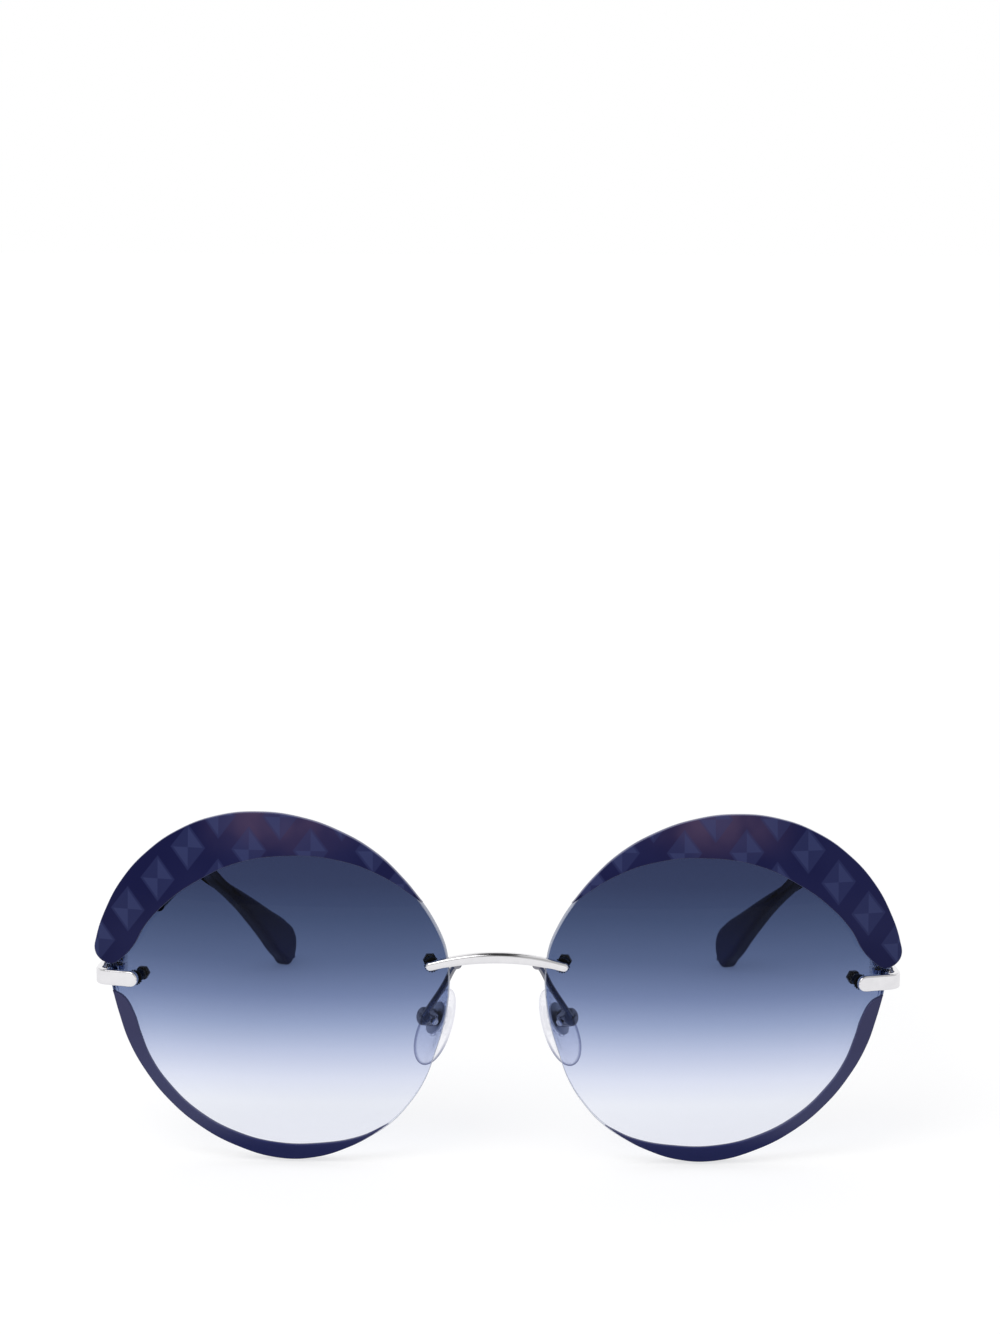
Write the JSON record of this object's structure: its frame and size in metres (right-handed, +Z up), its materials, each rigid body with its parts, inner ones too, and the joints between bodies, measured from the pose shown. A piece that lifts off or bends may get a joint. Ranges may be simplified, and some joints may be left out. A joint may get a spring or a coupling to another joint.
{
  "type": "round sunglasses",
  "caption": "Round rimless sunglasses with gradient lenses, crescent bands on the lens faces, a slim metal bridge, folding temples with curved tips and rocking nose pads.",
  "frame": {"origin": "centre of the bounding box's bottom face, on the surface that the lenses and temple tips stand on", "axes": "the front faces -Y, the temples run back towards +Y, +Z is up and +X is the wearer's left"},
  "size_m": [0.138, 0.1354, 0.0612],
  "materials": {
    "lens": "transparent, polished, tinted dark blue-grey above and nearly clear below",
    "band": "glossy navy with a tonal print",
    "metal": "polished silver",
    "bushing": "black, satin",
    "pad": "clear soft plastic",
    "tip": "glossy, near-black navy"
  },
  "bodies": {
    "front": {"bridge": "metal", "lens_left": "lens", "lens_right": "lens", "brow_band_left": "band", "brow_band_right": "band", "lower_band_left": "band", "lower_band_right": "band", "bridge_bushing_left": "bushing", "bridge_bushing_right": "bushing", "bridge_nut_left": "metal", "bridge_nut_right": "metal", "end_piece_bushing_left": "bushing", "end_piece_bushing_right": "bushing", "end_piece_nut_left": "metal", "end_piece_nut_right": "metal", "end_piece_left": "metal", "end_piece_right": "metal", "hinge_screw_left": "metal", "hinge_screw_right": "metal", "pad_arm_left": "metal", "pad_arm_right": "metal", "pad_screw_left": "metal", "pad_screw_right": "metal"},
    "temple_left": {"temple_left": "metal", "temple_tip_left": "tip"},
    "temple_right": {"temple_right": "metal", "temple_tip_right": "tip"},
    "pad_left": {"pad_insert_left": "metal", "nose_pad_left": "pad"},
    "pad_right": {"pad_insert_right": "metal", "nose_pad_right": "pad"}
  },
  "joints": [
    {"name": "temple_hinge_left", "type": "hinge", "parent": "front", "child": "temple_left", "pos_m": [0.0657, -0.05386, 0.03201], "axis": [0, 0, 1], "range_deg": [0, 81]},
    {"name": "temple_hinge_right", "type": "hinge", "parent": "front", "child": "temple_right", "pos_m": [-0.0657, -0.05386, 0.03201], "axis": [0, 0, -1], "range_deg": [0, 72]},
    {"name": "pad_rock_left", "type": "hinge", "parent": "front", "child": "pad_left", "pos_m": [0.0118, -0.06059, 0.02497], "axis": [-0.6159, -0.7431, -0.2614], "range_deg": [-8, 8]},
    {"name": "pad_rock_right", "type": "hinge", "parent": "front", "child": "pad_right", "pos_m": [-0.0118, -0.06059, 0.02497], "axis": [0.6159, -0.7431, -0.2614], "range_deg": [-8, 8]}
  ]
}
